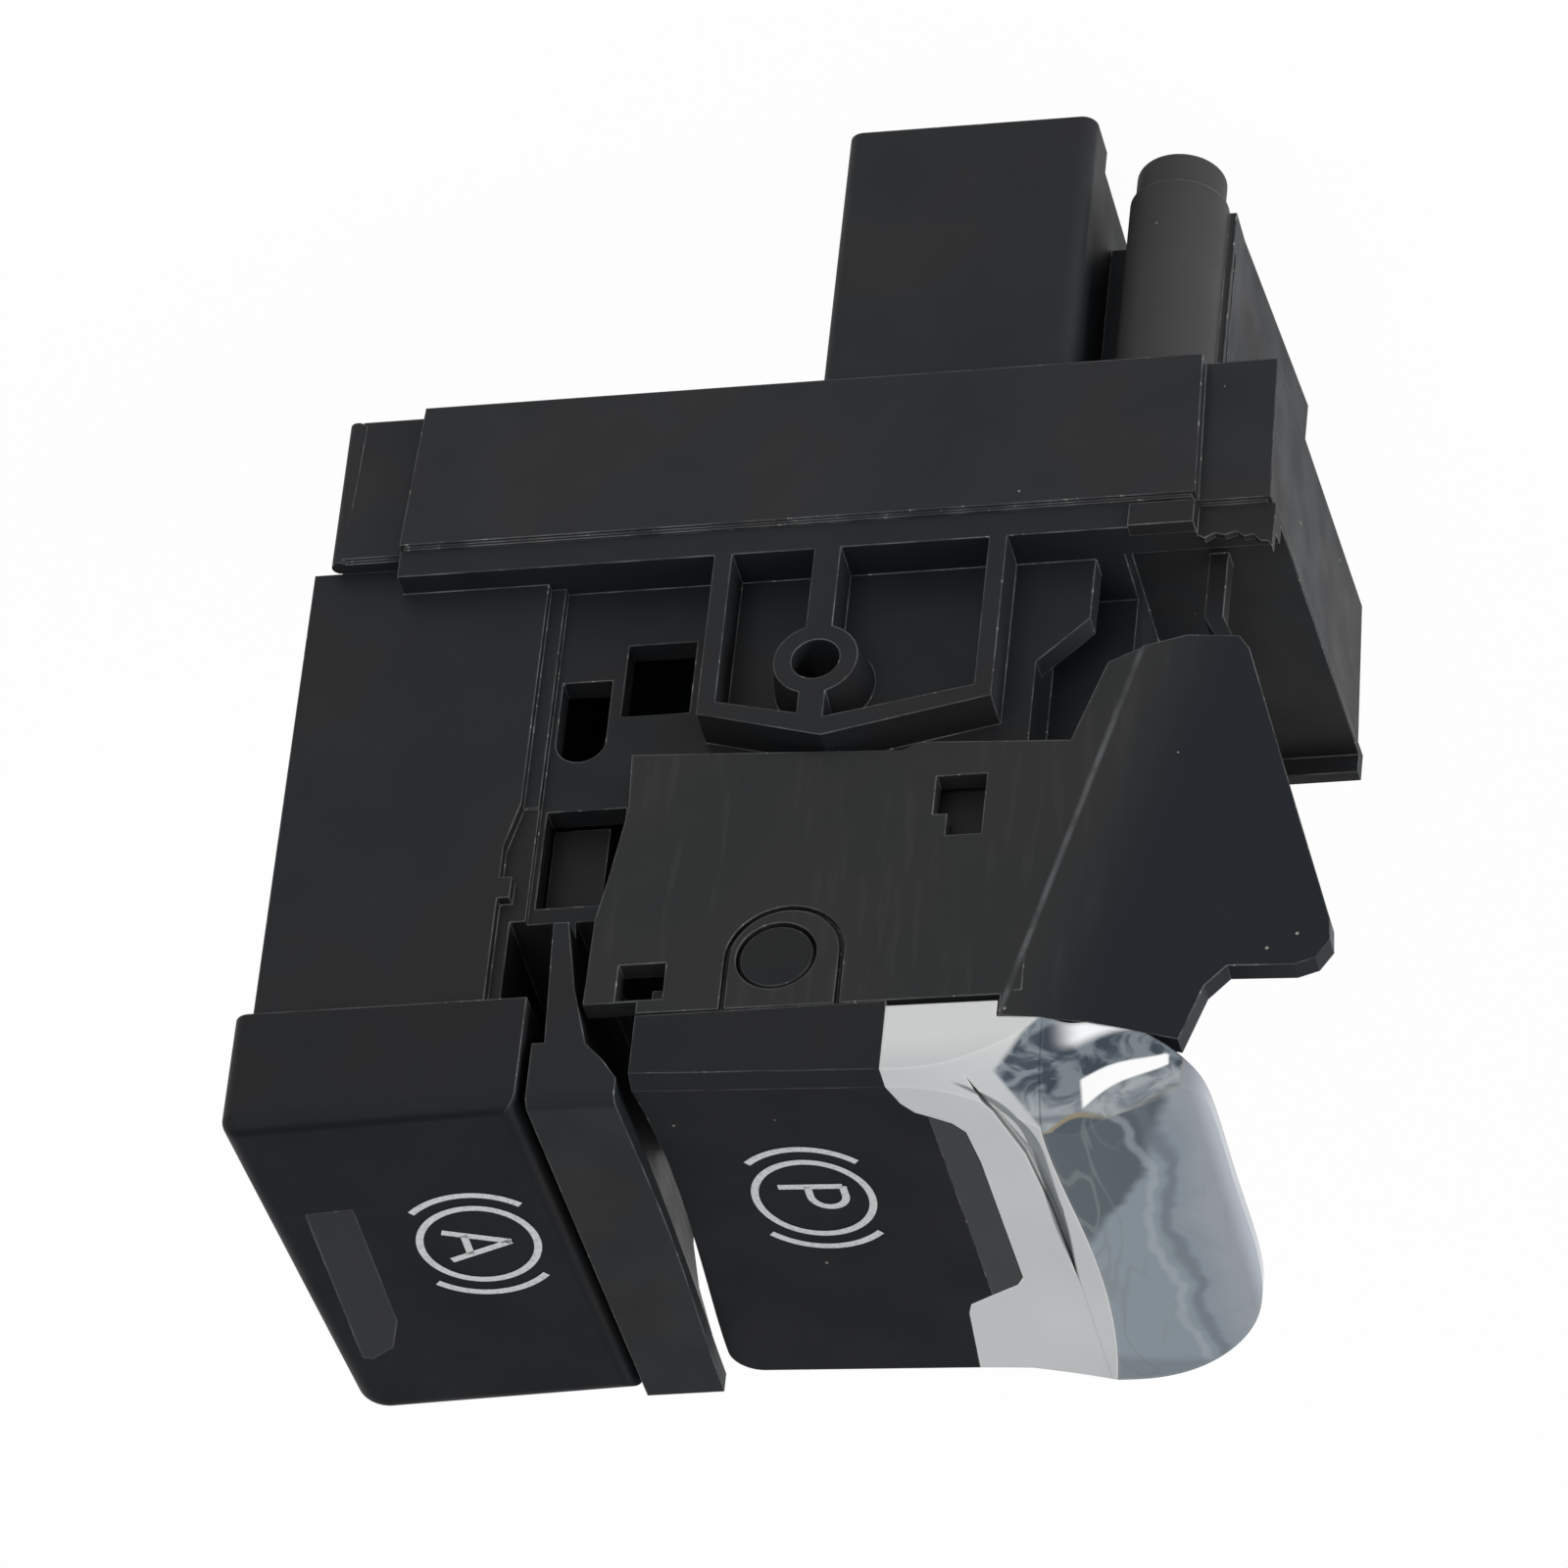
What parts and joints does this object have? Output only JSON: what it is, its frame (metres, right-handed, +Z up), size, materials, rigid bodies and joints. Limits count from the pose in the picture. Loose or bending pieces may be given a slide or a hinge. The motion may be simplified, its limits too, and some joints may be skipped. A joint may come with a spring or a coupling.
{
  "type": "electric parking brake switch",
  "caption": "Console switch for an electric parking brake: a pull-up lever with a metallic grip and, beside it, a smaller push button for auto hold, on a black housing.",
  "frame": {"origin": "centre of the fixing screw's bore, at the front face of its boss", "axes": "+Z up to the two buttons, -Y out of the face that is screwed to its bracket, -X towards the lever's grip"},
  "size_m": [0.0686, 0.0324, 0.079],
  "materials": {
    "black_plastic": "fine moulded texture, low sheen",
    "dark_lens": "smooth smoked indicator window",
    "satin_chrome": "satin metallic plating on plastic",
    "bright_chrome": "bright metallic plating on plastic",
    "steel_pin": "ground steel",
    "spring_steel": "drawn spring wire",
    "contact_brass": "plated contact metal",
    "natural_plastic": "undyed moulded plastic",
    "clear_plastic": "clear light-guide plastic",
    "lamp_body": "pale lamp body",
    "dome_rubber": "soft moulded rubber",
    "board": "green solder mask"
  },
  "bodies": {
    "root": {"housing": "black_plastic", "base_cover": "black_plastic", "circuit_board": "board", "lever_pivot_pin": "steel_pin", "slider_guide": "natural_plastic", "switch_dome": "dome_rubber", "auto_hold_light_guide": "clear_plastic", "auto_hold_lamp": "lamp_body", "brake_lamp": "lamp_body", "connector_pin_01": "contact_brass", "connector_pin_02": "contact_brass", "connector_pin_03": "contact_brass", "connector_pin_04": "contact_brass", "connector_pin_05": "contact_brass", "connector_pin_06": "contact_brass", "connector_pin_07": "contact_brass", "connector_pin_08": "contact_brass", "connector_pin_09": "contact_brass", "connector_pin_10": "contact_brass"},
    "lever": {"brake_lever": "black_plastic", "brake_button_cap": "black_plastic", "brake_indicator_lens": "dark_lens", "grip_trim": "satin_chrome", "grip_chrome": "bright_chrome", "brake_light_guide": "clear_plastic", "centering_spring": "spring_steel"},
    "slider": {"contact_slider": "natural_plastic", "wiper_contacts": "contact_brass"},
    "button": {"auto_hold_button": "black_plastic", "auto_hold_lens": "dark_lens", "auto_hold_plunger": "natural_plastic", "auto_hold_spring": "spring_steel"}
  },
  "joints": [
    {"name": "brake_lever_pivot", "type": "hinge", "parent": "root", "child": "lever", "pos_m": [0.00067, 0.0138, 0.02248], "axis": [0, 1, 0], "range_deg": [-5, 6], "stiffness_Nm_per_rad": 0.6},
    {"name": "slider_slide", "type": "slide", "parent": "root", "child": "slider", "axis": [-1, 0, 0], "range_m": [-0.0027, 0.0032]},
    {"name": "auto_hold_press", "type": "slide", "parent": "root", "child": "button", "axis": [0, 0, -1], "range_m": [0, 0.0015], "stiffness_N_per_m": 2000, "deforming": ["auto_hold_spring", "switch_dome"]}
  ],
  "couplings": [
    {"joint": "slider_slide", "follows": "brake_lever_pivot", "m_per_rad": 0.0305}
  ]
}
